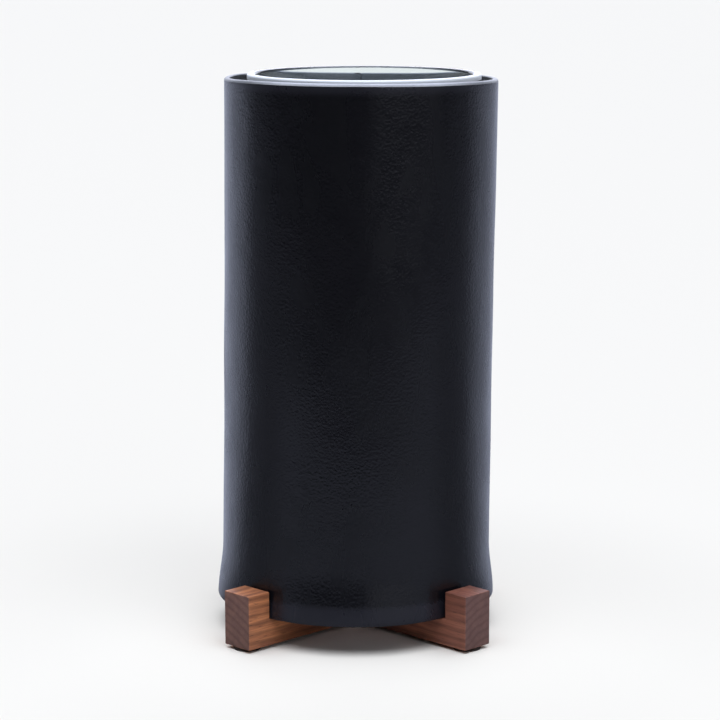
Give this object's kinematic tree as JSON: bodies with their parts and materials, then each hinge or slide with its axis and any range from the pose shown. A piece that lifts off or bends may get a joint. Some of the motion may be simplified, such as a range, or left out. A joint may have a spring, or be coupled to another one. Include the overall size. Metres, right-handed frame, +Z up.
{
  "type": "leather sleeved glass vase on wooden cross stand",
  "caption": "Tall clear glass cylinder vase in an open black leather sleeve, both lifting off a low walnut cross stand with upright end blocks.",
  "frame": {"origin": "on the floor under the middle of the cross stand, which is the middle of the underside of the whole", "axes": "+Z up along the sleeve's axis; -Y is the front; the two beams lie on the diagonals; the sleeve's seam is at +Y"},
  "size_m": [0.1212, 0.1212, 0.244],
  "materials": {
    "walnut": "oiled",
    "felt": "matte",
    "leather": "waxed",
    "thread": "waxed",
    "glass": "clear"
  },
  "bodies": {
    "stand": {"lower_cross_beam": "walnut", "upper_cross_beam": "walnut", "foot_pad_front_left": "felt", "foot_pad_front_right": "felt", "foot_pad_back_right": "felt", "foot_pad_back_left": "felt"},
    "sleeve": {"leather_sleeve": "leather", "seam_thread": "thread"},
    "glass": {"glass_vase": "glass"}
  },
  "joints": [
    {"name": "sleeve_lift", "type": "slide", "parent": "stand", "child": "sleeve", "axis": [0, 0, 1], "range_m": [0, 0.24]},
    {"name": "glass_lift", "type": "slide", "parent": "stand", "child": "glass", "axis": [0, 0, 1], "range_m": [0, 0.24]}
  ]
}
